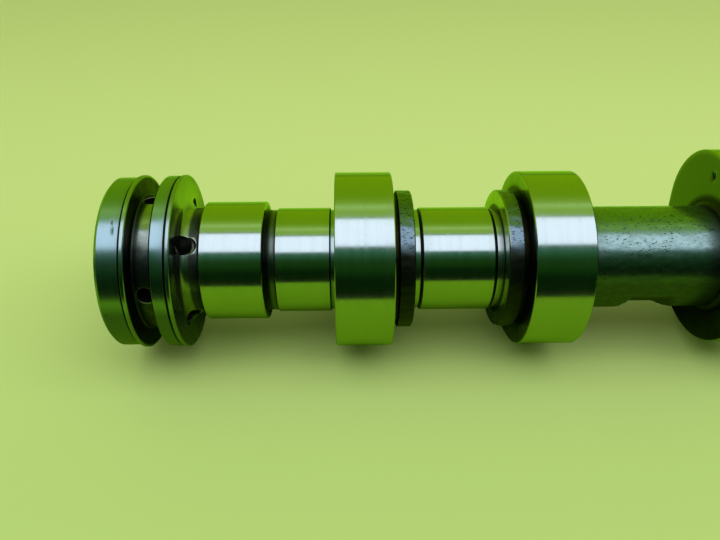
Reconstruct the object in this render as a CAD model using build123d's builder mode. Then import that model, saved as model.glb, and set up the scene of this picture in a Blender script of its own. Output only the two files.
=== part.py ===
"""Camshaft of a four-cylinder engine, ground and turned from one casting.

The shaft lies along X, with its head at the origin and its rear end at +X, and +Z is up.
The origin is the centre of the head's front face. Sizes are millimetres. Angles about the
shaft are degrees from +Y towards +Z, and put the shaft as it lies on a flat surface.
"""
from build123d import *
from math import cos, radians, sin
import os

# Head: two flanges with an oil groove between them, a neck and two ground lands
FRONT_FLANGE_DIAMETER = 37.3
FRONT_FLANGE_LENGTH = 6.1
FRONT_FLANGE_CHAMFER = 0.7
REAR_FLANGE_DIAMETER = 37.9
REAR_FLANGE_LENGTH = 4.15
REAR_FLANGE_CHAMFER = 0.35
RIM_DIAMETER = 38.3  # of the raised band at each flange's rear edge
RIM_WIDTH = 0.9
RIM_CHAMFER = 0.2
RIM_LINE_WIDTH = 0.25  # of the fine line turned in front of the band
RIM_LINE_DEPTH = 0.2  # below the flange
OIL_GROOVE_WIDTH = 4.8
OIL_GROOVE_DIAMETER = 29.6
HEAD_NECK_LENGTH = 4.25
HEAD_NECK_DIAMETER = 23.6
HEAD_NECK_FLANGE_FILLET = 3.4
HEAD_NECK_JOURNAL_FILLET = 0.6
FRONT_JOURNAL_DIAMETER = 26.2
FRONT_JOURNAL_LENGTH = 13.1
RELIEF_DIAMETER = 22.4
RELIEF_LENGTH = 2.4
PLAIN_LAND_DIAMETER = 23.2
PLAIN_LAND_LENGTH = 11.7
LOBE_RELIEF_LENGTH = 1.0
GROUND_CHAMFER = 0.2

# Oil drillings in the head
OIL_HOLE_COUNT = 4
GROOVE_HOLE_DIAMETER = 3.6
GROOVE_HOLE_DEPTH = 6.0
GROOVE_HOLE_ANGLE = 76.5
NECK_HOLE_DIAMETER = 4.2
NECK_HOLE_DEPTH = 7.0
NECK_HOLE_ANGLE = 122.5
NECK_HOLE_TILT = 40.0  # from the radial direction towards the rear
NECK_HOLE_RUNOUT = 1.2  # how far out of its mouth the cutter clears the fillet round it
HOLE_EDGE_CHAMFER = 0.3

# Centre hole for the drive's bolt, M12 thread at its tapping size
BOLT_HOLE_DIAMETER = 10.2
BOLT_HOLE_DEPTH = 32.0
BOLT_HOLE_MOUTH_DIAMETER = 13.4
BOLT_HOLE_MOUTH_CONE = 90.0

# Cylinders
CYLINDER_PITCH = 84.0
NOSE_ANGLES = (-52.5, 37.5, -142.5, 127.5)

# Cam lobes
BASE_CIRCLE_DIAMETER = 38.8
LOBE_LIFT = 5.1
NOSE_RADIUS = 14.0
FLANK_HALF_ANGLE = 67.0  # from the nose to where the flank leaves the base circle
LOBE_WIDTH = 12.2
LOBE_CHAMFER = 0.2

# Bearing between the two lobes of one cylinder
LOBE_GROOVE_WIDTH = 1.2
LOBE_GROOVE_DIAMETER = 27.6
COLLAR_WIDTH = 3.2
COLLAR_DIAMETER = 30.6
COLLAR_CHAMFER = 0.25
JOURNAL_NECK_WIDTH = 1.9
JOURNAL_NECK_DIAMETER = 22.2
JOURNAL_DIAMETER = 23.0
JOURNAL_LENGTH = 15.3

# As-cast shaft between the cylinders, with one milled flat behind the first cylinder
CAST_DIAMETER = 22.8
CAST_FILLET = 1.2
FLAT_LENGTH = 9.0
FLAT_DEPTH = 1.7
FLAT_GAP = 12.6  # from the lobe in front
FLAT_ANGLE = 220.0

# Rear end
REAR_LAND_DIAMETER = 23.2
REAR_LAND_LENGTH = 13.0

# Places along the shaft that follow from the sizes above
oil_groove_x = FRONT_FLANGE_LENGTH
rear_flange_x = oil_groove_x + OIL_GROOVE_WIDTH
head_neck_x = rear_flange_x + REAR_FLANGE_LENGTH
front_journal_x = head_neck_x + HEAD_NECK_LENGTH
relief_x = front_journal_x + FRONT_JOURNAL_LENGTH
plain_land_x = relief_x + RELIEF_LENGTH
lobe_relief_x = plain_land_x + PLAIN_LAND_LENGTH
first_lobe_x = lobe_relief_x + LOBE_RELIEF_LENGTH
half_gap = LOBE_GROOVE_WIDTH + COLLAR_WIDTH + JOURNAL_NECK_WIDTH
lobe_spacing = LOBE_WIDTH + 2 * half_gap + JOURNAL_LENGTH
cylinder_xs = [first_lobe_x + CYLINDER_PITCH * index for index in range(len(NOSE_ANGLES))]
rear_relief_x = cylinder_xs[-1] + lobe_spacing + LOBE_WIDTH
rear_land_x = rear_relief_x + LOBE_RELIEF_LENGTH
rear_face_x = rear_land_x + REAR_LAND_LENGTH


def step(start, length, diameter, front_edge=0.0, rear_edge=0.0):
    """Outline points of one turned step, with a 45 degree chamfer at either edge."""
    radius = diameter / 2
    end = start + length
    points = [(start, radius - front_edge)]
    if front_edge:
        points.append((start + front_edge, radius))
    if rear_edge:
        points.append((end - rear_edge, radius))
    points.append((end, radius - rear_edge))
    return points


def flange(start, length, diameter, front_edge):
    """Outline points of a flange with a fine line and a raised band at its rear edge."""
    band_x = start + length - RIM_WIDTH
    line_x = band_x - RIM_LINE_WIDTH
    return (
        step(start, line_x - start, diameter, front_edge)
        + step(line_x, RIM_LINE_WIDTH, diameter - 2 * RIM_LINE_DEPTH)
        + step(band_x, RIM_WIDTH, RIM_DIAMETER, 0, RIM_CHAMFER)
    )


def without_repeats(points):
    """The points in order, with each that lies on the one before it left out."""
    kept = [points[0]]
    for point in points[1:]:
        if abs(point[0] - kept[-1][0]) + abs(point[1] - kept[-1][1]) > 1e-6:
            kept.append(point)
    return kept


def head_outline():
    """Outline points from the front face to the first lobe."""
    return (
        flange(0, FRONT_FLANGE_LENGTH, FRONT_FLANGE_DIAMETER, FRONT_FLANGE_CHAMFER)
        + step(oil_groove_x, OIL_GROOVE_WIDTH, OIL_GROOVE_DIAMETER)
        + flange(rear_flange_x, REAR_FLANGE_LENGTH, REAR_FLANGE_DIAMETER, REAR_FLANGE_CHAMFER)
        + step(head_neck_x, HEAD_NECK_LENGTH, HEAD_NECK_DIAMETER)
        + step(front_journal_x, FRONT_JOURNAL_LENGTH, FRONT_JOURNAL_DIAMETER, GROUND_CHAMFER, GROUND_CHAMFER)
        + step(relief_x, RELIEF_LENGTH, RELIEF_DIAMETER)
        + step(plain_land_x, PLAIN_LAND_LENGTH, PLAIN_LAND_DIAMETER, GROUND_CHAMFER, GROUND_CHAMFER)
        + step(lobe_relief_x, LOBE_RELIEF_LENGTH, RELIEF_DIAMETER)
    )


def bearing_outline(start):
    """Outline points of one cylinder's bearing, whose front lobe starts at start."""
    groove_x = start + LOBE_WIDTH
    collar_x = groove_x + LOBE_GROOVE_WIDTH
    neck_x = collar_x + COLLAR_WIDTH
    journal_x = neck_x + JOURNAL_NECK_WIDTH
    rear_neck_x = journal_x + JOURNAL_LENGTH
    rear_collar_x = rear_neck_x + JOURNAL_NECK_WIDTH
    rear_groove_x = rear_collar_x + COLLAR_WIDTH
    return (
        step(groove_x, LOBE_GROOVE_WIDTH, LOBE_GROOVE_DIAMETER)
        + step(collar_x, COLLAR_WIDTH, COLLAR_DIAMETER, 0, COLLAR_CHAMFER)
        + step(neck_x, JOURNAL_NECK_WIDTH, JOURNAL_NECK_DIAMETER)
        + step(journal_x, JOURNAL_LENGTH, JOURNAL_DIAMETER, GROUND_CHAMFER, GROUND_CHAMFER)
        + step(rear_neck_x, JOURNAL_NECK_WIDTH, JOURNAL_NECK_DIAMETER)
        + step(rear_collar_x, COLLAR_WIDTH, COLLAR_DIAMETER, COLLAR_CHAMFER, 0)
        + step(rear_groove_x, LOBE_GROOVE_WIDTH, LOBE_GROOVE_DIAMETER)
    )


def cast_outline(start):
    """Outline points of the as-cast shaft from the rear lobe of the cylinder at start to the next one."""
    cast_x = start + lobe_spacing + LOBE_WIDTH
    return step(cast_x, CYLINDER_PITCH - lobe_spacing - LOBE_WIDTH, CAST_DIAMETER)


def radial_plane(x, radius, angle, tilt=0.0):
    """Plane at a radius and an angle about the shaft, facing outwards and tilted towards the rear."""
    outwards = Vector(0, cos(radians(angle)), sin(radians(angle)))
    normal = outwards * cos(radians(tilt)) + Vector(sin(radians(tilt)), 0, 0)
    around = Vector(0, -sin(radians(angle)), cos(radians(angle)))
    return Plane(origin=Vector(x, 0, 0) + outwards * radius, x_dir=around, z_dir=normal)


# One cam lobe, standing on XY with its nose towards +X. A three-arc cam: the base circle, two convex
# flanks that leave it at the flank angle, and the nose circle that touches both flanks.
base_radius = BASE_CIRCLE_DIAMETER / 2
nose_centre = base_radius + LOBE_LIFT - NOSE_RADIUS
flank_cos = cos(radians(FLANK_HALF_ANGLE))
flank_sin = sin(radians(FLANK_HALF_ANGLE))
flank_radius = (NOSE_RADIUS**2 - nose_centre**2 + 2 * nose_centre * flank_cos * base_radius - base_radius**2) / (
    2 * (nose_centre * flank_cos - base_radius + NOSE_RADIUS)
)
flank_centre = Vector(-flank_cos, -flank_sin) * (flank_radius - base_radius)
flank_to_nose = (Vector(nose_centre, 0) - flank_centre).normalized()
flank_start = Vector(flank_cos, flank_sin) * base_radius
flank_end = flank_centre + flank_to_nose * flank_radius
flank_middle = flank_centre + (Vector(flank_cos, flank_sin) + flank_to_nose).normalized() * flank_radius

with BuildPart() as lobe:
    with BuildSketch():
        with BuildLine():
            ThreePointArc(flank_start, (-base_radius, 0), (flank_start.X, -flank_start.Y))
            upper_flank = ThreePointArc(flank_start, flank_middle, flank_end)
            mirror(upper_flank, about=Plane.XZ)
            ThreePointArc(flank_end, (base_radius + LOBE_LIFT, 0), (flank_end.X, -flank_end.Y))
        make_face()
    extrude(amount=LOBE_WIDTH)
    rims = lobe.edges().group_by(Axis.Z)
    chamfer(rims[0] + rims[-1], LOBE_CHAMFER)

# The whole shaft
with BuildPart() as camshaft:
    with BuildSketch() as half_section:
        with BuildLine():
            outline = head_outline()
            for x in cylinder_xs:
                outline += bearing_outline(x)
                if x != cylinder_xs[-1]:
                    outline += cast_outline(x)
            outline += step(rear_relief_x, LOBE_RELIEF_LENGTH, RELIEF_DIAMETER)
            outline += step(rear_land_x, REAR_LAND_LENGTH, REAR_LAND_DIAMETER, GROUND_CHAMFER, GROUND_CHAMFER)
            Polyline((0, 0), *without_repeats(outline), (rear_face_x, 0), close=True)
        make_face()
        neck_radius = HEAD_NECK_DIAMETER / 2
        flange_corner = half_section.vertices().sort_by_distance((head_neck_x, neck_radius))[0]
        fillet(flange_corner, HEAD_NECK_FLANGE_FILLET)
        journal_corner = half_section.vertices().sort_by_distance((front_journal_x, neck_radius))[0]
        fillet(journal_corner, HEAD_NECK_JOURNAL_FILLET)
    revolve(axis=Axis.X)

    # Lobes, two to a cylinder with the same timing
    for x, angle in zip(cylinder_xs, NOSE_ANGLES):
        nose_direction = (0, cos(radians(angle)), sin(radians(angle)))
        for front_face_x in (x, x + lobe_spacing):
            place = Plane(origin=(front_face_x, 0, 0), x_dir=nose_direction, z_dir=(1, 0, 0))
            add(place.location * lobe.part)

    # Cast fillets where the shaft runs into the lobes
    cast_ends = [x + lobe_spacing + LOBE_WIDTH for x in cylinder_xs[:-1]] + cylinder_xs[1:]
    cast_roots = camshaft.edges().filter_by(GeomType.CIRCLE).filter_by(
        lambda edge: abs(edge.radius - CAST_DIAMETER / 2) < 1e-4
        and any(abs(edge.center().X - x) < 1e-4 for x in cast_ends)
    )
    fillet(cast_roots, CAST_FILLET)

    # Milled flat, with sloping ends where the cutter leaves
    flat_x = cylinder_xs[0] + lobe_spacing + LOBE_WIDTH + FLAT_GAP
    flat_radius = CAST_DIAMETER / 2 - FLAT_DEPTH
    with BuildSketch(radial_plane(flat_x + FLAT_LENGTH / 2, flat_radius, FLAT_ANGLE)):
        Rectangle(CAST_DIAMETER, FLAT_LENGTH)
    extrude(amount=2 * FLAT_DEPTH, taper=-45, mode=Mode.SUBTRACT)

    # Oil drillings: radial ones in the groove's floor, tilted ones where the neck's fillet faces along them
    groove_hole_x = oil_groove_x + OIL_GROOVE_WIDTH / 2
    neck_hole_x = head_neck_x + HEAD_NECK_FLANGE_FILLET * (1 - sin(radians(NECK_HOLE_TILT)))
    neck_hole_radius = neck_radius + HEAD_NECK_FLANGE_FILLET * (1 - cos(radians(NECK_HOLE_TILT)))
    neck_drill = NECK_HOLE_DIAMETER / 2
    neck_mouth = neck_drill + HOLE_EDGE_CHAMFER
    below = (Align.CENTER, Align.CENTER, Align.MAX)
    above = (Align.CENTER, Align.CENTER, Align.MIN)
    for index in range(OIL_HOLE_COUNT):
        turn = 360 / OIL_HOLE_COUNT * index
        with Locations(radial_plane(groove_hole_x, OIL_GROOVE_DIAMETER / 2, GROOVE_HOLE_ANGLE + turn)):
            CounterSinkHole(
                GROOVE_HOLE_DIAMETER / 2, GROOVE_HOLE_DIAMETER / 2 + HOLE_EDGE_CHAMFER, GROOVE_HOLE_DEPTH, 90
            )
        with Locations(radial_plane(neck_hole_x, neck_hole_radius, NECK_HOLE_ANGLE + turn, NECK_HOLE_TILT)):
            Cylinder(neck_drill, NECK_HOLE_DEPTH, align=below, mode=Mode.SUBTRACT)
            Cone(neck_drill, neck_mouth, HOLE_EDGE_CHAMFER, align=below, mode=Mode.SUBTRACT)
            Cylinder(neck_mouth, NECK_HOLE_RUNOUT, align=above, mode=Mode.SUBTRACT)

    # Bolt hole in the head
    with Locations(Plane(origin=(0, 0, 0), z_dir=(-1, 0, 0))):
        CounterSinkHole(
            BOLT_HOLE_DIAMETER / 2, BOLT_HOLE_MOUTH_DIAMETER / 2, BOLT_HOLE_DEPTH, BOLT_HOLE_MOUTH_CONE
        )

camshaft.part.label = "camshaft"

os.makedirs("parts", exist_ok=True)
export_step(camshaft.part, "parts/camshaft.step")
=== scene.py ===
"""Looks of a four-cylinder camshaft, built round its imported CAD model.

The shaft lies along X with the centre of its head's front face at the origin, and Z is up. All
lengths are metres. An angle about the shaft is measured from +Y towards +Z. Each stretch of the
shaft is a closed mesh of rings about X, worked out as one array, and carries three finishes:
ground bearing surfaces, turned grooves and side faces, and the casting's own skin.
"""

import logging
import math
from dataclasses import dataclass, field
from enum import Enum

import bpy
import numpy as np
from mathutils import Matrix, Vector


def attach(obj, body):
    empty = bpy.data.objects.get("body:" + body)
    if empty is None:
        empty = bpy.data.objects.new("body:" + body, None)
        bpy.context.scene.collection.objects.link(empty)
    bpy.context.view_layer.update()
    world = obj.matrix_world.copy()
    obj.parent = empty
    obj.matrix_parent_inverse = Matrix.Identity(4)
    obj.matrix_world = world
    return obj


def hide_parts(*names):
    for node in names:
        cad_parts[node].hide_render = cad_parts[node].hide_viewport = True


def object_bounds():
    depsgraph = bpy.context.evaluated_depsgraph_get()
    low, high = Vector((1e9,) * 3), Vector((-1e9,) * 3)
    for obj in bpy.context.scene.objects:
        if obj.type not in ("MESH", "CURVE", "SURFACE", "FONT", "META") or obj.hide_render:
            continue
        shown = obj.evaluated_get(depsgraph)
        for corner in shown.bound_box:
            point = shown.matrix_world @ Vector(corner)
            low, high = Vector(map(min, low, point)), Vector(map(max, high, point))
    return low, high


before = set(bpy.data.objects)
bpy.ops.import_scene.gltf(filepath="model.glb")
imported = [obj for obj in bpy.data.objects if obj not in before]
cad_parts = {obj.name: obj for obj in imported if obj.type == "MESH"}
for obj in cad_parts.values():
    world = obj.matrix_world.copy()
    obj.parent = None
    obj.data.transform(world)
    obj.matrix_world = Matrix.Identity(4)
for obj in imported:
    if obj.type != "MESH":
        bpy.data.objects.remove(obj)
CAD_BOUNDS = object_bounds()

logging.basicConfig(level=logging.INFO, format="%(message)s")
LOG = logging.getLogger("camshaft")

MM = 0.001
NODE = "camshaft"
BODY = "root"
SEGMENTS = 256  # round each ring
HOLD = 0.05 * MM  # from a leg's end to the ring that keeps its shading flat
SHORT_LEG = 6 * HOLD  # a leg up to this length has no such rings
TINY = 1e-9  # keeps a division from being by nothing
SHARP_EDGE = math.radians(35)
DRILL_HALF_ANGLE = math.radians(59)
LOWER_SHADE_TOP = 5.5 * MM  # heights over the axis between which the shaft's side is painted darker towards the bottom, as shade
LOWER_SHADE_FOOT = 1.5 * MM
MOST_NOISE = (0.3, 0.7)  # where most of a noise's values lie

Colour = tuple[float, float, float]


# ---------------------------------------------------------------------------------------------
# Finishes
# ---------------------------------------------------------------------------------------------


class NodeSheet:
    """A node tree, with short ways to add nodes and join them."""

    def __init__(self, tree: bpy.types.NodeTree) -> None:
        """Starts on a tree."""
        self.tree = tree

    def add(self, kind: str, **settings: object) -> bpy.types.Node:
        """Adds a node.

        Args:
            kind: Blender's name of the node type.
            settings: values for the node's own properties.

        Returns:
            The new node.
        """
        node = self.tree.nodes.new(kind)
        for name, value in settings.items():
            setattr(node, name, value)
        return node

    def feed(self, socket: bpy.types.NodeSocket, value: object) -> None:
        """Joins a socket to an output, or sets it to a plain value.

        Args:
            socket: the input.
            value: an output, or what the input is set to.
        """
        if isinstance(value, bpy.types.NodeSocket):
            self.tree.links.new(value, socket)
        else:
            socket.default_value = value

    def maths(
        self, operation: str, first: object, second: object = 0.0, clamp: bool = False
    ) -> bpy.types.NodeSocket:
        """One Math node.

        Args:
            operation: Blender's name of the operation.
            first: an output or a number.
            second: an output or a number.
            clamp: whether the answer is kept between 0 and 1.

        Returns:
            The node's output.
        """
        node = self.add("ShaderNodeMath", operation=operation, use_clamp=clamp)
        self.feed(node.inputs[0], first)
        self.feed(node.inputs[1], second)
        return node.outputs[0]

    def vectors(self, operation: str, first: object, second: object = None) -> bpy.types.Node:
        """One Vector Math node.

        Args:
            operation: Blender's name of the operation.
            first: an output or a vector.
            second: an output or a vector, where the operation takes two.

        Returns:
            The node.
        """
        node = self.add("ShaderNodeVectorMath", operation=operation)
        self.feed(node.inputs[0], first)
        if second is not None:
            self.feed(node.inputs[1], second)
        return node

    def axes(self, vector: object) -> bpy.types.NodeOutputs:
        """Splits a vector.

        Args:
            vector: an output.

        Returns:
            Outputs that are read by the names X, Y and Z.
        """
        split = self.add("ShaderNodeSeparateXYZ")
        self.feed(split.inputs[0], vector)
        return split.outputs

    def mixed(self, share: object, first: object, second: object) -> bpy.types.NodeSocket:
        """Mixes two colours.

        Args:
            share: how much of the second there is, an output or a number.
            first: an output or an RGB triple.
            second: an output or an RGB triple.

        Returns:
            The mixed colour.
        """
        node = self.add("ShaderNodeMix", data_type="RGBA")
        self.feed(node.inputs["Factor"], share)
        for socket, value in zip((node.inputs[6], node.inputs[7]), (first, second)):
            self.feed(socket, value if isinstance(value, bpy.types.NodeSocket) else (*value, 1.0))
        return node.outputs[2]

    def span(
        self, value: object, low: float, high: float, start: float = 0.0, end: float = 1.0
    ) -> bpy.types.NodeSocket:
        """Stretches the range low to high onto start to end, and holds it there beyond the range.

        Args:
            value: an output.
            low: where the range starts.
            high: where it ends.
            start: the answer at low.
            end: the answer at high.

        Returns:
            The stretched value, with soft ends.
        """
        node = self.add("ShaderNodeMapRange", interpolation_type="SMOOTHSTEP")
        for name, number in zip(("From Min", "From Max", "To Min", "To Max"), (low, high, start, end)):
            node.inputs[name].default_value = number
        self.feed(node.inputs["Value"], value)
        return node.outputs["Result"]

    def noise(
        self, vector: object, size: float, detail: float = 2.0, rough: float = 0.5
    ) -> bpy.types.NodeSocket:
        """Soft noise from 0 to 1.

        Args:
            vector: where the noise is read.
            size: how far across its lumps are, in the vector's own units.
            detail: how many finer layers it has.
            rough: how strong the finer layers are.

        Returns:
            The noise.
        """
        node = self.add("ShaderNodeTexNoise")
        self.feed(node.inputs["Vector"], vector)
        self.feed(node.inputs["Scale"], 1.0 / size)
        self.feed(node.inputs["Detail"], detail)
        self.feed(node.inputs["Roughness"], rough)
        return node.outputs["Fac"]


class FinishSheet(NodeSheet):
    """The node tree of one material, which starts with a metal shader and the surface's place."""

    def __init__(self, name: str) -> None:
        """Makes the material.

        Args:
            name: the material's name.
        """
        self.material = bpy.data.materials.new(name)
        self.material.use_nodes = True
        super().__init__(self.material.node_tree)
        self.shader = self.tree.nodes["Principled BSDF"]
        self.place = self.add("ShaderNodeTexCoord").outputs["Object"]

    def grade(self, name: str) -> bpy.types.NodeSocket:
        """Reads one of the mesh's own values: its grime and painted shade, its wear or its scale."""
        return self.add("ShaderNodeAttribute", attribute_name=name).outputs["Fac"]

    def underside(self) -> bpy.types.NodeSocket:
        """How far down the shaft's side the surface lies: 0 above LOWER_SHADE_TOP, and 1 below LOWER_SHADE_FOOT."""
        return self.span(self.axes(self.place)["Z"], LOWER_SHADE_FOOT, LOWER_SHADE_TOP, 1.0, 0.0)

    def dullness(self) -> bpy.types.NodeSocket:
        """How dull the surface is: the part of the scale up to 1."""
        return self.span(self.grade("scale"), 0.0, 1.0)

    def black_shade(self) -> bpy.types.NodeSocket:
        """How black the surface is painted as shade: the part of the scale above 1."""
        return self.span(self.grade("scale"), 1.0, 2.0)

    def round_marks(self, spacing: float, length: float, faces: bool = False) -> bpy.types.NodeSocket:
        """A vector in which noise makes tool marks that run round the shaft.

        The vector is (u / spacing, n_y / length, n_z / length), where n is the unit vector from the
        axis to the surface, so a mark closes on itself with no seam. u is x, or x + r on a stretch
        with side faces, where r is the distance from the axis, so that marks there are circles.

        Args:
            spacing: distance between marks in metres.
            length: how far a mark runs round, in radians.
            faces: whether the stretch has side faces too.

        Returns:
            The vector, for noise of size 1.
        """
        axes = self.axes(self.place)
        across = self.add("ShaderNodeCombineXYZ")
        self.feed(across.inputs["Y"], axes["Y"])
        self.feed(across.inputs["Z"], axes["Z"])
        unit = self.vectors("NORMALIZE", across.outputs[0])
        turned = self.vectors("SCALE", unit.outputs[0])
        turned.inputs["Scale"].default_value = 1.0 / length
        along = axes["X"]
        if faces:
            radius = self.vectors("LENGTH", across.outputs[0])
            along = self.maths("ADD", along, radius.outputs["Value"])
        offset = self.add("ShaderNodeCombineXYZ")
        self.feed(offset.inputs["X"], self.maths("DIVIDE", along, spacing))
        return self.vectors("ADD", turned.outputs[0], offset.outputs[0]).outputs[0]

    def raise_by(self, height: object, depth: float, under: object = None) -> bpy.types.NodeSocket:
        """Bump on top of another bump.

        Args:
            height: an output from 0 to 1.
            depth: what a height of 1 stands for, in metres.
            under: the other bump's normal, if there is one.

        Returns:
            The normal.
        """
        node = self.add("ShaderNodeBump")
        node.inputs["Strength"].default_value = 1.0
        node.inputs["Distance"].default_value = depth
        self.feed(node.inputs["Height"], height)
        if under is not None:
            self.feed(node.inputs["Normal"], under)
        return node.outputs["Normal"]

    def metal(self, colour: object, rough: object, normal: object) -> bpy.types.Material:
        """Makes the material up as metal.

        Args:
            colour: the output that colours it.
            rough: the output for its roughness.
            normal: the output for its bump.

        Returns:
            The material.
        """
        self.feed(self.shader.inputs["Base Color"], colour)
        self.feed(self.shader.inputs["Roughness"], rough)
        self.feed(self.shader.inputs["Normal"], normal)
        self.shader.inputs["Metallic"].default_value = 1.0
        return self.material


@dataclass(frozen=True)
class GroundSteel:
    """Bearing surfaces and lobes: bright, with fine grinding marks, a faint haze of use, and painted
    shade in corners and on the lower side of the dull bands.
    """

    bright: Colour = (0.46, 0.47, 0.47)
    worn: Colour = (0.40, 0.41, 0.41)
    dull: Colour = (0.27, 0.34, 0.37)
    # colour of grime and specks, and of the painted shade
    grime_and_shade: Colour = (0.035, 0.032, 0.025)
    gloss: float = 0.12
    dull_gloss: float = 0.18
    mark_spacing: float = 0.16 * MM
    mark_length: float = 0.9  # radians
    band_spacing: float = 1.1 * MM
    band_length: float = 1.6  # radians
    mark_depth: float = 0.0010 * MM
    band_depth: float = 0.0008 * MM
    band_roughness: tuple[float, float] = (0.01, 0.05)
    haze_size: float = 5 * MM
    speck_size: float = 0.42 * MM
    speck_edge: tuple[float, float] = (0.76, 0.81)
    speck_strength: float = 0.55
    # painted shade: the dull bands are darker on the shaft's lower side
    lower_shade_strength: float = 0.6
    dirt_roughness: float = 0.3

    def make(self) -> bpy.types.Material:
        """Builds the finish as a material.

        Returns:
            The material.
        """
        sheet = FinishSheet("ground_steel")
        fine = sheet.noise(sheet.round_marks(self.mark_spacing, self.mark_length), 1.0, 3.0, 0.6)
        bands = sheet.noise(sheet.round_marks(self.band_spacing, self.band_length), 1.0, 2.0)
        haze = sheet.noise(sheet.place, self.haze_size, 4.0, 0.6)
        specks = sheet.span(sheet.noise(sheet.place, self.speck_size, 1.0), *self.speck_edge)
        # grime and painted shade from corners, then painted shade on the lower side
        dirt_and_shade = sheet.maths("MULTIPLY", sheet.grade("grime_and_shade"), sheet.span(haze, 0.2, 0.7, 0.75, 1.0))
        dull = sheet.dullness()
        # painted shade on the lower side of the dull bands
        lower_shade = sheet.maths("MULTIPLY", sheet.underside(), self.lower_shade_strength)
        dirt_and_shade = sheet.maths("MAXIMUM", dirt_and_shade, sheet.maths("MULTIPLY", dull, lower_shade))
        colour = sheet.mixed(sheet.maths("MULTIPLY", haze, bands), self.bright, self.worn)
        colour = sheet.mixed(dull, colour, self.dull)
        colour = sheet.mixed(sheet.maths("MULTIPLY", specks, self.speck_strength), colour, self.grime_and_shade)
        colour = sheet.mixed(dirt_and_shade, colour, self.grime_and_shade)
        soiled = sheet.maths("MULTIPLY", dirt_and_shade, self.dirt_roughness)
        rough = sheet.maths("ADD", sheet.span(bands, *MOST_NOISE, *self.band_roughness), soiled)
        rough = sheet.maths("ADD", rough, sheet.span(dull, 0.0, 1.0, self.gloss, self.dull_gloss))
        normal = sheet.raise_by(bands, self.band_depth, sheet.raise_by(fine, self.mark_depth))
        return sheet.metal(colour, rough, normal)


@dataclass(frozen=True)
class TurnedSteel:
    """Grooves, necks and side faces: duller, with wider turning marks, oil film, dirt and painted
    shade.
    """

    bright: Colour = (0.42, 0.42, 0.40)
    oily: Colour = (0.33, 0.33, 0.30)
    dull: Colour = (0.13, 0.15, 0.12)
    # colour of grime and spots, and of the black painted shade
    grime_and_shade: Colour = (0.008, 0.009, 0.007)
    rubbed: Colour = (0.60, 0.60, 0.58)
    gloss: float = 0.15
    film_gloss: float = 0.24
    mark_spacing: float = 0.28 * MM
    mark_length: float = 1.2  # radians
    mark_depth: float = 0.002 * MM
    film_size: float = 3.2 * MM
    spot_size: float = 0.6 * MM
    spot_edge: tuple[float, float] = (0.70, 0.76)
    spot_strength: float = 0.4
    rubbed_strength: float = 0.5
    dirt_roughness: float = 0.25

    def make(self) -> bpy.types.Material:
        """Builds the finish as a material.

        Returns:
            The material.
        """
        sheet = FinishSheet("turned_steel")
        around = sheet.round_marks(self.mark_spacing, self.mark_length, faces=True)
        marks = sheet.noise(around, 1.0, 2.0, 0.6)
        film = sheet.noise(sheet.place, self.film_size, 4.0, 0.65)
        spots = sheet.span(sheet.noise(sheet.place, self.spot_size, 2.0), *self.spot_edge)
        # grime and painted shade from corners, then black painted shade in gaps
        dirt_and_shade = sheet.maths("MULTIPLY", sheet.grade("grime_and_shade"), sheet.span(film, 0.15, 0.6, 0.8, 1.0))
        dirt_and_shade = sheet.maths("MAXIMUM", dirt_and_shade, sheet.black_shade())
        colour = sheet.mixed(sheet.span(film, *MOST_NOISE), self.bright, self.oily)
        colour = sheet.mixed(sheet.dullness(), colour, self.dull)
        colour = sheet.mixed(sheet.maths("MULTIPLY", spots, self.spot_strength), colour, self.grime_and_shade)
        wear = sheet.maths("MULTIPLY", sheet.grade("wear"), self.rubbed_strength)
        colour = sheet.mixed(wear, colour, self.rubbed)
        colour = sheet.mixed(dirt_and_shade, colour, self.grime_and_shade)
        soiled = sheet.maths("MULTIPLY", dirt_and_shade, self.dirt_roughness)
        rough = sheet.span(film, *MOST_NOISE, self.gloss, self.film_gloss)
        rough = sheet.maths("ADD", rough, soiled)
        return sheet.metal(colour, rough, sheet.raise_by(marks, self.mark_depth))


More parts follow.
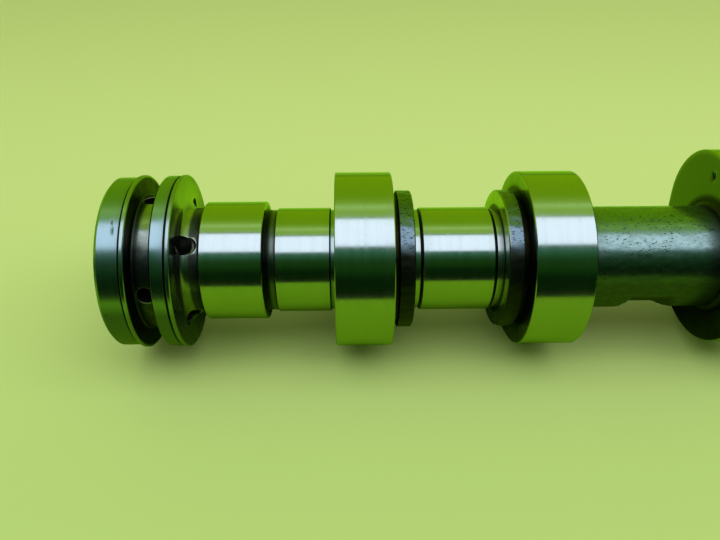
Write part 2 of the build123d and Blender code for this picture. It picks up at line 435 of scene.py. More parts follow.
@dataclass(frozen=True)
class CastSkin:
    """The casting's own skin, roughly skimmed: dark, pitted, with rust in the pits.

    The skin's marks are drawn out along the shaft by 1 / along.
    """

    bright: Colour = (0.24, 0.31, 0.30)
    dull: Colour = (0.20, 0.26, 0.25)
    scaly: Colour = (0.15, 0.19, 0.23)
    # colour of rust in the pits, and of the painted shade
    rust_and_shade: Colour = (0.024, 0.019, 0.009)
    gloss: float = 0.20
    lump_gloss: float = 0.28
    lump_size: float = 0.8 * MM
    pit_size: float = 0.34 * MM
    pit_edge: tuple[float, float] = (0.57, 0.67)
    pit_depth: float = 0.0016 * MM
    pit_strength: float = 0.9
    lump_share: float = 0.5
    cloud_size: float = 4.5 * MM
    cloud_edge: tuple[float, float] = (0.40, 0.56)
    clear_pits: float = 0.08  # strength of the pits between the clouds
    # painted shade: the skin is darker on the shaft's lower side
    lower_shade_strength: tuple[float, float] = (0.70, 0.90)  # on plain skin and on scaly skin
    plain_scale: float = 0.35
    along: float = 0.45
    dirt_roughness: float = 0.2

    def make(self) -> bpy.types.Material:
        """Builds the finish as a material, with rust in its pits and painted shade on the lower side
        and in gaps.

        Returns:
            The material.
        """
        sheet = FinishSheet("cast_skin")
        drawn = sheet.vectors("MULTIPLY", sheet.place, (self.along, 1.0, 1.0)).outputs[0]
        lumps = sheet.noise(drawn, self.lump_size, 3.0, 0.5)
        pits = sheet.span(sheet.noise(drawn, self.pit_size, 2.0, 0.55), *self.pit_edge)
        clouds = sheet.noise(sheet.place, self.cloud_size, 3.0, 0.6)
        scale = sheet.dullness()
        clouded = sheet.span(clouds, *self.cloud_edge, self.clear_pits, 1.0)
        pitted = sheet.maths("MULTIPLY", pits, clouded, clamp=True)
        pitted = sheet.maths("MAXIMUM", pitted, sheet.maths("MULTIPLY", pits, scale))
        rusty = sheet.maths("MULTIPLY", pitted, self.pit_strength)
        dirt_and_shade = sheet.maths("MAXIMUM", sheet.grade("grime_and_shade"), rusty)
        # painted shade, darker towards the bottom
        lower_shade = sheet.span(scale, self.plain_scale, 1.0, *self.lower_shade_strength)
        lower_shade = sheet.maths("MULTIPLY", sheet.underside(), lower_shade)
        dirt_and_shade = sheet.maths("MAXIMUM", dirt_and_shade, lower_shade)
        dirt_and_shade = sheet.maths("MAXIMUM", dirt_and_shade, sheet.black_shade())
        colour = sheet.mixed(sheet.span(lumps, 0.35, 0.65), self.bright, self.dull)
        colour = sheet.mixed(sheet.span(scale, self.plain_scale, 1.0), colour, self.scaly)
        colour = sheet.mixed(dirt_and_shade, colour, self.rust_and_shade)
        soiled = sheet.maths("MULTIPLY", dirt_and_shade, self.dirt_roughness)
        rough = sheet.span(lumps, *MOST_NOISE, self.gloss, self.lump_gloss)
        rough = sheet.maths("ADD", soiled, rough)
        depth = sheet.maths("SUBTRACT", sheet.maths("MULTIPLY", lumps, self.lump_share), pitted)
        return sheet.metal(colour, rough, sheet.raise_by(depth, self.pit_depth))


@dataclass(frozen=True)
class DrilledWall:
    """Walls of the drilled holes: dim steel with a film of oil over it."""

    bright: Colour = (0.24, 0.235, 0.215)
    oily: Colour = (0.08, 0.075, 0.06)
    gloss: float = 0.3
    film_gloss: float = 0.5
    film_size: float = 1.4 * MM
    film_depth: float = 0.03 * MM

    def make(self) -> bpy.types.Material:
        """Builds the finish as a material.

        Returns:
            The material.
        """
        sheet = FinishSheet("drilled_wall")
        film = sheet.noise(sheet.place, self.film_size, 3.0, 0.6)
        rough = sheet.span(film, *MOST_NOISE, self.gloss, self.film_gloss)
        colour = sheet.mixed(film, self.bright, self.oily)
        return sheet.metal(colour, rough, sheet.raise_by(film, self.film_depth))


class Finish(Enum):
    """The finishes, in the order of a mesh's material slots."""

    GROUND = 0
    TURNED = 1
    CAST = 2
    DRILLED = 3


class FinishRack:
    """Keeps one material of each finish for all the pieces."""

    def __init__(self) -> None:
        """Makes the materials."""
        self.materials = {
            Finish.GROUND: GroundSteel().make(),
            Finish.TURNED: TurnedSteel().make(),
            Finish.CAST: CastSkin().make(),
            Finish.DRILLED: DrilledWall().make(),
        }

    def hang_on(self, mesh: bpy.types.Mesh) -> None:
        """Gives a mesh its material slots, in the order of Finish."""
        for finish in Finish:
            mesh.materials.append(self.materials[finish])


# ---------------------------------------------------------------------------------------------
# Outlines and meshes
# ---------------------------------------------------------------------------------------------


@dataclass
class Corner:
    """One corner of a stretch's outline, and the finish of the leg that runs on from it.

    rounding is the corner's radius, and a corner of 0 stays sharp. share is how much of the cam's
    lift is added to the radius there: 0 on round stretches and 1 on a lobe's running surface. lump
    is how far the skin wanders in and out. scale is how dull the surface looks, from 0 to 1, and how
    black it is painted as shade, from 1 to 2. step is the longest distance between rings on the leg.
    """

    x: float
    radius: float
    finish: Finish = Finish.GROUND
    rounding: float = 0.10 * MM
    share: float = 0.0
    lump: float = 0.0
    scale: float = 0.0
    step: float = 2.5 * MM


@dataclass
class Rings:
    """Arrays of one value a ring: places, radii and the looks that follow the outline."""

    x: np.ndarray
    radius: np.ndarray
    share: np.ndarray
    lump: np.ndarray
    scale: np.ndarray
    # grime, with painted shade in corners and gaps
    grime_and_shade: np.ndarray
    wear: np.ndarray
    finish: np.ndarray


def nearness(points: np.ndarray, targets: np.ndarray, reach: float) -> np.ndarray:
    """How near points lie to the nearest target: exp(-d / reach) of the distance d.

    Args:
        points: places as rows of x and radius.
        targets: places of the same kind; there may be none.
        reach: the distance at which the answer is 1 / e.

    Returns:
        One value a point, 0 where there is no target.
    """
    if not len(targets):
        return np.zeros(len(points))
    gap = np.linalg.norm(points[:, None] - targets[None], axis=2).min(axis=1)
    return np.exp(-gap / reach)


@dataclass
class Outline:
    """The outline of one stretch, from front to rear, from which its rings are worked out.

    A corner's turn is the sine of the angle between its legs, above 0 at an inner corner.
    """

    corners: list[Corner] = field(default_factory=list)
    # grime and painted shade darken the surface near inner corners
    grime_and_shade_reach: float = 0.45 * MM
    wear_reach: float = 0.16 * MM
    wiped: float = 0.2  # the part of the grime and painted shade that stays on ground steel
    edge_rounding: float = 0.05 * MM  # at the front and rear chamfers of a step
    least_turn: float = 0.02  # a corner that turns less stays as it is
    edge_turn: float = 0.2  # a corner that turns more gathers grime and painted shade, or wear
    leg_part: float = 0.48  # the most of a leg that one arc takes up
    small_arc: float = 0.5 * MM  # an arc that reaches less far along its legs has few rings
    few_rings: int = 3
    many_rings: int = 15

    def go(self, x: float, radius: float, **looks: object) -> None:
        """Adds a corner at a place and a radius; looks are Corner's other fields."""
        self.corners.append(Corner(x, radius, **looks))

    def land(
        self,
        start: float,
        length: float,
        diameter: float,
        front: float,
        rear: float = 0.0,
        **looks: object,
    ) -> None:
        """Adds one step of the shaft.

        Args:
            start: where it starts along X.
            length: its length.
            diameter: its diameter.
            front: its front chamfer, at 45 degrees.
            rear: its rear chamfer, or 0 for a sharp rear edge.
            looks: Corner's other fields, for the step's running surface.
        """
        radius, end = diameter / 2, start + length
        chamfer = {**looks, "rounding": self.edge_rounding}
        self.go(start, radius - front, **chamfer)
        self.go(start + front, radius, **looks)
        if rear:
            self.go(end - rear, radius, **chamfer)
        self.go(end, radius - rear, **{**looks, "finish": Finish.TURNED})

    def arc(self, table: np.ndarray, index: int, ahead: np.ndarray, length: np.ndarray) -> np.ndarray:
        """Rounds one corner off.

        A corner P with unit vectors u and v towards its neighbours, an angle g between them and a
        rounding r becomes the arc
        ((1-s)^2 A + 2 w s (1-s) P + s^2 C) / ((1-s)^2 + 2 w s (1-s) + s^2),
        with A = P + t u, C = P + t v, t = r / tan(g/2) and w = sin(g/2). The corners' other values,
        such as the share of the lift, are blended with the same weights.

        Args:
            table: one row of values a corner.
            index: the corner's number.
            ahead: the unit vectors along the legs.
            length: the legs' lengths.

        Returns:
            Rows of values along the arc.
        """
        back, on = -ahead[index - 1], ahead[index]
        half = math.acos(float(np.clip(back @ on, -1, 1))) / 2
        limit = self.leg_part * min(length[index - 1], length[index])
        reach = min(self.corners[index].rounding / math.tan(half), limit)
        count = self.few_rings if reach < self.small_arc else self.many_rings
        s = np.linspace(0, 1, count)[:, None]
        weight = np.hstack([(1 - s) ** 2, 2 * math.sin(half) * s * (1 - s), s**2])
        weight /= weight.sum(axis=1, keepdims=True)
        corner = table[index]
        before = corner + (table[index - 1] - corner) * reach / length[index - 1]
        after = corner + (table[index + 1] - corner) * reach / length[index]
        return weight @ np.vstack([before, corner, after])

    def rings(self) -> Rings:
        """Works out the rings.

        Corners are rounded off and long legs divided evenly, with a ring close to either end of a
        leg that keeps its shading flat. Grime and painted shade follow the nearest inner corner and
        wear the nearest outer one, each as exp(-d / reach) of the distance d.

        Returns:
            The rings of the stretch.
        """
        corners = self.corners
        table = np.array([(c.x, c.radius, c.share, c.lump, c.scale) for c in corners])
        place = table[:, :2]
        leg = np.diff(place, axis=0)
        length = np.maximum(np.linalg.norm(leg, axis=1), TINY)
        ahead = leg / length[:, None]
        turn = ahead[:-1, 0] * ahead[1:, 1] - ahead[:-1, 1] * ahead[1:, 0]
        rounded = [False, *(np.abs(turn) > self.least_turn), False]
        points, finish = [table[:1]], [np.array([corners[0].finish.value])]
        for index, corner in enumerate(corners[1:], 1):
            if rounded[index] and corner.rounding > 0:
                arc = self.arc(table, index, ahead, length)
            else:
                arc = table[index : index + 1]
            last = points[-1][-1]
            run = float(np.linalg.norm(arc[0, :2] - last[:2]))
            parts = max(1, math.ceil(run / corners[index - 1].step))
            inside = np.linspace(0, 1, parts + 1)[1:-1, None]
            if run > SHORT_LEG:
                inside = np.vstack([[[HOLD / run]], inside, [[1 - HOLD / run]]])
            points += [last + (arc[0] - last) * inside, arc]
            finish += [np.full(len(inside) + 1 + len(arc) // 2, corners[index - 1].finish.value)]
            finish += [np.full(len(arc) - 1 - len(arc) // 2, corner.finish.value)]
        grid = np.vstack(points)
        kinds = np.concatenate(finish)[: len(grid)]
        inner, outer = place[1:-1][turn > self.edge_turn], place[1:-1][turn < -self.edge_turn]
        kept = np.where(kinds == Finish.GROUND.value, self.wiped, 1.0)
        return Rings(
            *grid.T,
            grime_and_shade=kept * nearness(grid[:, :2], inner, self.grime_and_shade_reach),
            wear=nearness(grid[:, :2], outer, self.wear_reach),
            finish=kinds,
        )


@dataclass(frozen=True)
class CamProfile:
    """A three-arc cam: base circle, two convex flanks and a nose circle."""

    base_radius: float = 19.4 * MM
    lift: float = 5.1 * MM
    nose_radius: float = 14.0 * MM
    flank_half_angle: float = math.radians(67.0)

    def lift_at(self, angle: np.ndarray) -> np.ndarray:
        """Lift above the base circle at each angle from the nose.

        With e the nose circle's offset, the nose is R = e cos a + sqrt(n^2 - e^2 sin^2 a). The flank's
        circle of radius f has its centre F at distance f - b beyond the axis, opposite the flank's
        start, so R = F.u + sqrt(f^2 - |F|^2 + (F.u)^2) for the unit vector u at angle a.

        Args:
            angle: angles from the nose in radians.

        Returns:
            The lifts, in metres.
        """
        base, nose = self.base_radius, self.nose_radius
        offset = base + self.lift - nose
        cosine = math.cos(self.flank_half_angle)
        flank = (nose**2 - offset**2 + 2 * offset * cosine * base - base**2) / (
            2 * (offset * cosine - base + nose)
        )
        centre = -np.array([cosine, math.sin(self.flank_half_angle)]) * (flank - base)
        end = math.atan2(-centre[1], offset - centre[0])
        touch = np.array([offset + nose * math.cos(end), nose * math.sin(end)])
        nose_end = math.atan2(touch[1], touch[0])
        a = np.abs((angle + math.pi) % (2 * math.pi) - math.pi)
        along = centre[0] * np.cos(a) + centre[1] * np.sin(a)
        on_flank = along + np.sqrt(np.maximum(flank**2 - centre @ centre + along**2, 0))
        on_nose = offset * np.cos(a) + np.sqrt(np.maximum(nose**2 - (offset * np.sin(a)) ** 2, 0))
        radius = np.where(a < nose_end, on_nose, np.where(a < self.flank_half_angle, on_flank, base))
        return radius - base


@dataclass(frozen=True)
class Dent:
    """A nick or a punch mark: the surface within reach of a point moves along push.

    At distance d, measured with the three reaches as units, the surface moves by push (1 - d^2)^2,
    out to d = 1. Its dirt and painted shade is gain (1 - d^2)^2 - loss, kept between 0 and 1.
    """

    centre: np.ndarray
    reach: tuple[float, float, float]
    push: np.ndarray
    gain: float = 1.1
    loss: float = 0.0

    def share(self, points: np.ndarray) -> np.ndarray:
        """Returns (1 - d^2)^2 at each point, and 0 beyond the reach."""
        gap = (points - self.centre) / np.array(self.reach)
        return np.clip(1 - (gap**2).sum(axis=-1), 0, 1) ** 2

    def stain_and_shade(self, points: np.ndarray) -> np.ndarray:
        """Returns the dent's dirt and painted shade at each point."""
        return np.clip(self.gain * self.share(points) - self.loss, 0, 1)

    def press(self, points: np.ndarray) -> np.ndarray:
        """Returns the points with the dent pressed into them."""
        return points + self.share(points)[..., None] * self.push


@dataclass(frozen=True)
class LowerShade:
    """Painted shade on the lower side of a stretch, darker towards the bottom.

    top and foot are the heights over the axis between which it grows from nothing to its strength.
    """

    top: float
    foot: float
    strength: float
    near: float = 0.01 * MM

    def share(self, skin: np.ndarray, start: float, end: float, least: float = 0.0) -> np.ndarray:
        """How dark each vertex is painted: strength (top - z) / (top - foot), kept between 0 and
        strength.

        Args:
            skin: the vertex places.
            start: where the painted shade starts along X.
            end: where it ends.
            least: only surface at least this far from the axis is darkened.

        Returns:
            The painted shade, from 0 to 1.
        """
        x, z = skin[..., 0], skin[..., 2]
        on = (x > start - self.near) & (x < end + self.near)
        on &= np.hypot(skin[..., 1], z) > least - self.near
        depth = np.clip((self.top - z) / (self.top - self.foot), 0, 1)
        return np.where(on, self.strength * depth, 0.0)


def ring_angles(count: int = SEGMENTS) -> np.ndarray:
    """Even angles round a ring of count segments, from 0 to just short of 2 pi."""
    return np.arange(count) * 2 * math.pi / count


def ripple(
    x: np.ndarray,
    angle: np.ndarray,
    seed: int,
    waves: int = 60,
    most_around: int = 46,
    length: float = 0.9 * MM,
) -> np.ndarray:
    """Even wandering of a skin: the sum of cos(m a + k x + p) / sqrt(waves) over random m, k and p.

    m is a whole number, so the sum closes round the shaft.

    Args:
        x: places along the shaft, broadcast against angle.
        angle: angles about the shaft.
        seed: fixes the waves.
        waves: how many there are.
        most_around: the largest m.
        length: 1 / length is the usual size of k.

    Returns:
        Values of about -1.5 to 1.5.
    """
    source = np.random.default_rng(seed)
    around = source.integers(-most_around, most_around + 1, waves)
    along = source.normal(0, 1.0 / length, waves)
    phase = source.uniform(0, 2 * math.pi, waves)
    total = np.zeros(np.broadcast(x, angle).shape)
    for m, k, p in zip(around, along, phase):
        total += np.cos(m * angle + k * x + p)
    return total / math.sqrt(waves)


def skin_of_rings(rings: Rings, lift: np.ndarray, seed: int) -> np.ndarray:
    """Vertex places of a stretch, as an array of rings by segments by 3.

    A vertex is (x, R cos a, R sin a) with R = radius + share * lift(a) + lump * ripple(x, a).

    Args:
        rings: the stretch's rings.
        lift: the cam's lift at each segment's angle.
        seed: fixes the ripple of the casting's skin.

    Returns:
        The places.
    """
    angle = ring_angles()
    x = rings.x[:, None]
    radius = rings.radius[:, None] + rings.share[:, None] * lift[None]
    if rings.lump.max() > 0:
        radius = radius + rings.lump[:, None] * ripple(x, angle[None], seed)
    radius = np.maximum(radius, 0)
    return np.stack([x + 0 * radius, radius * np.cos(angle), radius * np.sin(angle)], axis=2)


def mesh_of_skin(
    name: str,
    skin: np.ndarray,
    rings: Rings,
    finishes: FinishRack,
    stains_and_shade: np.ndarray | float = 0.0,
) -> bpy.types.Mesh:
    """A closed mesh of quads between rings, with a fan of triangles to a pole at either end.

    Vertex number ring * segments + segment. The quad of rings k and k + 1 is (k, j), (k, j + 1),
    (k + 1, j + 1), (k + 1, j), which faces outwards because X points from ring to ring.

    Args:
        name: the mesh's name.
        skin: the vertex places, rings by segments by 3.
        rings: the rings, for their finishes, grime and painted shade, wear and scale.
        finishes: where the materials come from.
        stains_and_shade: stains and painted shade at each vertex of the skin, beside the rings' own.

    Returns:
        The mesh.
    """
    count, segments = skin.shape[:2]
    points = np.vstack([skin.reshape(-1, 3), skin[0].mean(axis=0), skin[-1].mean(axis=0)])
    here = np.arange(segments)
    beside = (here + 1) % segments
    row = np.arange(count - 1)[:, None] * segments
    round_quad = [row + here, row + beside, row + segments + beside, row + segments + here]
    quads = np.stack(round_quad, axis=2).reshape(-1, 4)
    last_row = (count - 1) * segments
    pole = np.full(segments, count * segments)
    front = np.stack([pole, beside, here], axis=1)
    rear = np.stack([pole + 1, last_row + here, last_row + beside], axis=1)
    loops = np.concatenate([quads.ravel(), front.ravel(), rear.ravel()])
    sizes = np.concatenate([np.full(len(quads), 4), np.full(2 * segments, 3)])
    starts = np.concatenate([[0], np.cumsum(sizes)[:-1]])
    bands = np.repeat(rings.finish[: count - 1], segments)
    ends = np.repeat([rings.finish[0], rings.finish[-1]], segments)
    slots = np.concatenate([bands, ends]).astype(np.int32)
    mesh = bpy.data.meshes.new(name)
    mesh.vertices.add(len(points))
    mesh.vertices.foreach_set("co", points.ravel())
    mesh.loops.add(len(loops))
    mesh.loops.foreach_set("vertex_index", loops)
    mesh.polygons.add(len(sizes))
    mesh.polygons.foreach_set("loop_start", starts)
    mesh.polygons.foreach_set("loop_total", sizes)
    mesh.polygons.foreach_set("material_index", slots)
    for label, least in (("grime_and_shade", stains_and_shade), ("wear", 0.0), ("scale", 0.0)):
        values = getattr(rings, label)
        spread = np.maximum(np.repeat(values[:, None], segments, axis=1), least)
        layer = mesh.attributes.new(label, "FLOAT", "POINT")
        layer.data.foreach_set("value", np.concatenate([spread.ravel(), values[[0, -1]]]))
    mesh.update(calc_edges=True)
    mesh.validate()
    finishes.hang_on(mesh)
    return mesh


def add_object(name: str, content: bpy.types.ID) -> bpy.types.Object:
    """Puts something new into the scene.

    Args:
        name: the object's name.
        content: its mesh, lamp or camera.

    Returns:
        The object.
    """
    item = bpy.data.objects.new(name, content)
    bpy.context.scene.collection.objects.link(item)
    return item


def place_piece(name: str, mesh: bpy.types.Mesh) -> bpy.types.Object:
    """Puts a mesh into the scene as a finished piece that stands for the CAD node.

    The mesh is shaded smooth, but its edges over SHARP_EDGE stay sharp.

    Args:
        name: the piece's name.
        mesh: its mesh.

    Returns:
        The piece.
    """
    mesh.name = name
    mesh.polygons.foreach_set("use_smooth", np.ones(len(mesh.polygons), dtype=bool))
    mesh.set_sharp_from_angle(angle=SHARP_EDGE)
    mesh.update()
    piece = add_object(name, mesh)
    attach(piece, BODY)
    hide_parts(NODE)
    LOG.info("%s: %d faces", name, len(mesh.polygons))
    return piece


def unit_at(angle: float) -> np.ndarray:
    """The unit vector out from the shaft at an angle in degrees."""
    return np.array([0.0, math.cos(math.radians(angle)), math.sin(math.radians(angle))])


# ---------------------------------------------------------------------------------------------
# The shaft's stretches
# ---------------------------------------------------------------------------------------------


@dataclass
class Drilling:
    """One blind oil hole with a small chamfer at its mouth, and a cone at its end."""

    mouth: np.ndarray
    outwards: np.ndarray
    diameter: float
    depth: float
    overrun: float
    chamfer: float = 0.30 * MM
    point: float = 0.01 * MM  # radius of the cone's blunt end
    segments: int = 64

    def cutter(self, name: str, finishes: FinishRack) -> bpy.types.Object:
        """A closed mesh of the hole, for a boolean cut, which reaches out past the mouth.

        Its rings have radii p, r, r, r + c and r + c at depths d + tip, d, c, 0 and -overrun
        below the mouth, round the hole's own axis.

        Args:
            name: the object's name.
            finishes: where the drilled wall's material comes from.

        Returns:
            The cutter.
        """
        r, c = self.diameter / 2, self.chamfer
        tip = r / math.tan(DRILL_HALF_ANGLE)
        depth = np.array([self.depth + tip, self.depth, c, 0.0, -self.overrun])
        radius = np.array([self.point, r, r, r + c, r + c])
        angle = ring_angles(self.segments)[:, None]
        out = self.outwards / np.linalg.norm(self.outwards)
        side = np.cross(out, [1.0, 0.0, 0.0])
        side /= np.linalg.norm(side)
        ring = side * np.cos(angle) + np.cross(out, side) * np.sin(angle)
        skin = self.mouth - out * depth[:, None, None] + ring * radius[:, None, None]
        blank, wall = np.zeros(len(depth)), np.full(len(depth), Finish.DRILLED.value)
        rings = Rings(depth, radius, *[blank] * 5, finish=wall)
        return add_object(name, mesh_of_skin(name, skin, rings, finishes))


def cut_holes(mesh: bpy.types.Mesh, drillings: list[Drilling], finishes: FinishRack) -> bpy.types.Mesh:
    """Cuts drillings out of a mesh.

    Args:
        mesh: the closed mesh.
        drillings: the holes.
        finishes: where the drilled wall's material comes from.

    Returns:
        The cut mesh; the cutters are thrown away.
    """
    body = add_object("uncut", mesh)
    cutters = [drilling.cutter(f"cutter_{index}", finishes) for index, drilling in enumerate(drillings)]
    for cutter in cutters:
        cut = body.modifiers.new(cutter.name, "BOOLEAN")
        cut.operation = "DIFFERENCE"
        cut.solver = "EXACT"
        cut.object = cutter
    bpy.context.view_layer.update()
    depsgraph = bpy.context.evaluated_depsgraph_get()
    cut_mesh = bpy.data.meshes.new_from_object(body.evaluated_get(depsgraph))
    for item in [*cutters, body]:
        bpy.data.objects.remove(item)
    return cut_mesh


@dataclass
class Head:
    """The head: two flanges with an oil groove between, a drilled neck and two ground lands."""

    front_flange: float = 6.1 * MM
    front_flange_diameter: float = 37.3 * MM
    front_flange_chamfer: float = 0.7 * MM
    rear_flange: float = 4.15 * MM
    rear_flange_diameter: float = 37.9 * MM
    rear_flange_chamfer: float = 0.35 * MM
    rim_diameter: float = 38.3 * MM
    rim_width: float = 0.8 * MM
    rim_chamfer: float = 0.2 * MM
    rim_edge: float = 0.05 * MM  # chamfer at the band's front
    rim_line_width: float = 0.5 * MM
    rim_line_depth: float = 0.08 * MM
    rim_line_rounding: float = 0.03 * MM
    rim_step: float = 0.34 * MM
    groove_width: float = 4.8 * MM
    groove_diameter: float = 29.6 * MM
    groove_rounding: float = 0.5 * MM
    groove_shade: float = 1.5 * MM  # width of the strip along the floor's front side that is painted black as shade
    # painted shade: the groove's floor is darker on its lower side
    groove_lower_shade: LowerShade = LowerShade(13.8 * MM, 11.4 * MM, 0.88)
    neck_length: float = 4.25 * MM
    neck_diameter: float = 23.6 * MM
    neck_flange_fillet: float = 3.4 * MM
    neck_journal_fillet: float = 0.6 * MM
    # painted shade: the neck is darker on its lower side
    neck_lower_shade: LowerShade = LowerShade(7.0 * MM, 2.0 * MM, 0.45)
    # painted shade on the neck next to the journal
    neck_painted_shade: float = 0.95
    neck_painted_shade_start: float = 1.5 * MM  # behind the rear flange
    neck_painted_shade_rise: float = 0.7 * MM  # length over which it grows
    neck_painted_shade_fall: float = 0.05 * MM  # length over which it stops at the journal
    journal_diameter: float = 26.2 * MM
    journal_length: float = 13.1 * MM
    relief_diameter: float = 22.4 * MM
    relief_length: float = 2.4 * MM
    relief_rounding: float = 0.3 * MM
    relief_black_reach: float = 0.9 * MM  # how far the painted shade at the relief's front stays black
    relief_shade: float = 1.6 * MM  # and where it has faded
    land_diameter: float = 23.2 * MM
    land_length: float = 11.7 * MM
    lobe_relief: float = 1.0 * MM
    lobe_relief_grime_and_shade: float = 0.25  # the part of the grime and painted shade that stays there
    sunk: float = 0.5 * MM  # how far the head reaches into the first lobe
    lower_shade_inset: float = 0.1 * MM  # keeps the painted lower shade off the flanges and the journal
    fine_step: float = 0.3 * MM
    ground_chamfer: float = 0.2 * MM
    bolt_hole_diameter: float = 10.2 * MM
    bolt_hole_depth: float = 32.0 * MM
    bolt_mouth_diameter: float = 13.4 * MM
    hole_count: int = 4
    groove_hole_diameter: float = 3.6 * MM
    groove_hole_depth: float = 6.0 * MM
    groove_hole_chamfer: float = 0.15 * MM
    groove_hole_runout: float = 2.0 * MM
    groove_hole_angle: float = 76.5
    neck_hole_diameter: float = 4.2 * MM
    neck_hole_depth: float = 7.0 * MM
    neck_hole_angle: float = 122.5
    neck_hole_tilt: float = math.radians(40)
    neck_hole_runout: float = 1.2 * MM

    @property
    def groove_x(self) -> float:
        """Where the oil groove starts."""
        return self.front_flange

    @property
    def rear_flange_x(self) -> float:
        """Where the rear flange starts."""
        return self.groove_x + self.groove_width

    @property
    def neck_x(self) -> float:
        """Where the drilled neck starts."""
        return self.rear_flange_x + self.rear_flange

    @property
    def journal_x(self) -> float:
        """Where the front journal starts."""
        return self.neck_x + self.neck_length

    @property
    def land_x(self) -> float:
        """Where the plain land starts."""
        return self.journal_x + self.journal_length + self.relief_length

    @property
    def end_x(self) -> float:
        """Where the first lobe starts."""
        return self.land_x + self.land_length + self.lobe_relief

    def flange(
        self, line: Outline, start: float, length: float, diameter: float, chamfer: float
    ) -> None:
        """Adds a flange with a fine line and a raised band at its rear edge.

        Args:
            line: the outline that it goes on.
            start: where it starts along X.
            length: its length, band and all.
            diameter: its diameter in front of the line.
            chamfer: its front chamfer.
        """
        band_x = start + length - self.rim_width
        line_x = band_x - self.rim_line_width
        floor = diameter / 2 - self.rim_line_depth
        # the line is painted black as shade
        black = {"finish": Finish.TURNED, "rounding": self.rim_line_rounding, "scale": 2.0}
        band = {"step": self.rim_step, "scale": 0.6}
        line.land(start, line_x - start, diameter, chamfer, step=self.rim_step, scale=1.0)
        line.go(line_x, diameter / 2, **black)
        line.go(line_x, floor, **black)
        line.go(band_x, floor, **black)
        line.go(band_x, self.rim_diameter / 2 - self.rim_edge, rounding=0, scale=0.6)
        line.land(band_x, self.rim_width, self.rim_diameter, self.rim_edge, self.rim_chamfer, **band)

    def outline(self) -> Outline:
        """Draws the head from the blind end of the bolt hole out, and back to the first lobe.

        Returns:
            The outline.
        """
        line = Outline()
        turned, drilled = {"finish": Finish.TURNED}, {"finish": Finish.DRILLED}
        bore, mouth = self.bolt_hole_diameter / 2, self.bolt_mouth_diameter / 2
        tip = bore / math.tan(DRILL_HALF_ANGLE)
        line.go(self.bolt_hole_depth + tip, 0.0, rounding=0, **drilled)
        line.go(self.bolt_hole_depth, bore, **drilled)
        line.go(mouth - bore, bore, **drilled)
        line.go(0, mouth, **turned)
        chamfer = self.front_flange_chamfer
        self.flange(line, 0.0, self.front_flange, self.front_flange_diameter, chamfer)
        side, floor = self.rim_diameter / 2 - self.rim_chamfer, self.groove_diameter / 2
        corner = {**turned, "rounding": self.groove_rounding}
        # painted shade: the groove's front wall and a strip of its floor are black
        line.go(self.groove_x, side - self.groove_rounding, rounding=0, scale=2.0, **turned)
        line.go(self.groove_x, floor, scale=2.0, step=self.fine_step, **corner)
        line.go(self.groove_x + self.groove_shade, floor, rounding=0, scale=0.4, **turned)
        line.go(self.rear_flange_x, floor, scale=0.4, **corner)
        x, chamfer = self.rear_flange_x, self.rear_flange_chamfer
        self.flange(line, x, self.rear_flange, self.rear_flange_diameter, chamfer)
        neck = self.neck_diameter / 2
        line.go(self.neck_x, neck, rounding=self.neck_flange_fillet, **turned)
        line.go(self.journal_x, neck, rounding=self.neck_journal_fillet, **turned)
        ground = (self.ground_chamfer, self.ground_chamfer)
        line.land(self.journal_x, self.journal_length, self.journal_diameter, *ground)
        relief, x = self.relief_diameter / 2, self.journal_x + self.journal_length
        fine = {**turned, "step": self.fine_step}
        # painted shade: the relief is black at its front and fades towards the land
        line.go(x, relief, rounding=self.relief_rounding, scale=2.0, **fine)
        line.go(x + self.relief_black_reach, relief, scale=1.9, **fine)
        line.go(x + self.relief_shade, relief, scale=1.35, **fine)
        line.go(self.land_x, relief, scale=1.2, **turned)
        line.land(self.land_x, self.land_length, self.land_diameter, *ground)
        line.go(self.land_x + self.land_length, relief, scale=0.8)
        line.go(self.end_x + self.sunk, relief, **turned)
        line.go(self.end_x + self.sunk, 0.0, rounding=0, **turned)
        return line

    def drillings(self) -> list[Drilling]:
        """The oil holes: radial ones in the groove's floor, tilted ones in the neck.

        A tilted hole points at the centre of the fillet behind the rear flange, and its mouth lies
        on the fillet.

        Returns:
            The holes, a radial one and a tilted one in turn.
        """
        holes, fillet = [], self.neck_flange_fillet
        lean, rise = math.sin(self.neck_hole_tilt), math.cos(self.neck_hole_tilt)
        for index in range(self.hole_count):
            turn = 360 / self.hole_count * index
            out = unit_at(self.groove_hole_angle + turn)
            mouth = out * self.groove_diameter / 2 + [self.groove_x + self.groove_width / 2, 0, 0]
            size = (self.groove_hole_diameter, self.groove_hole_depth)
            holes.append(
                Drilling(mouth, out, *size, self.groove_hole_runout, self.groove_hole_chamfer)
            )
            out = unit_at(self.neck_hole_angle + turn)
            tilted = out * rise + np.array([lean, 0, 0])
            centre = out * (self.neck_diameter / 2 + fillet) + [self.neck_x + fillet, 0, 0]
            size = (self.neck_hole_diameter, self.neck_hole_depth)
            holes.append(Drilling(centre - fillet * tilted, tilted, *size, self.neck_hole_runout))
        return holes

    def paint_neck_shade(self, rings: Rings) -> None:
        """Paints shade on the neck between fillet and journal, and takes most grime and painted shade
        off the last relief.

        Args:
            rings: the head's rings, whose grime and painted shade change.
        """
        start, fall = self.neck_x + self.neck_painted_shade_start, self.neck_painted_shade_fall
        on = np.clip((rings.x - start) / self.neck_painted_shade_rise, 0, 1)
        off = np.clip((self.journal_x + fall - rings.x) / fall, 0, 1)
        rings.grime_and_shade = np.maximum(rings.grime_and_shade, self.neck_painted_shade * on * off)
        rings.grime_and_shade[rings.x > self.land_x + self.land_length] *= self.lobe_relief_grime_and_shade

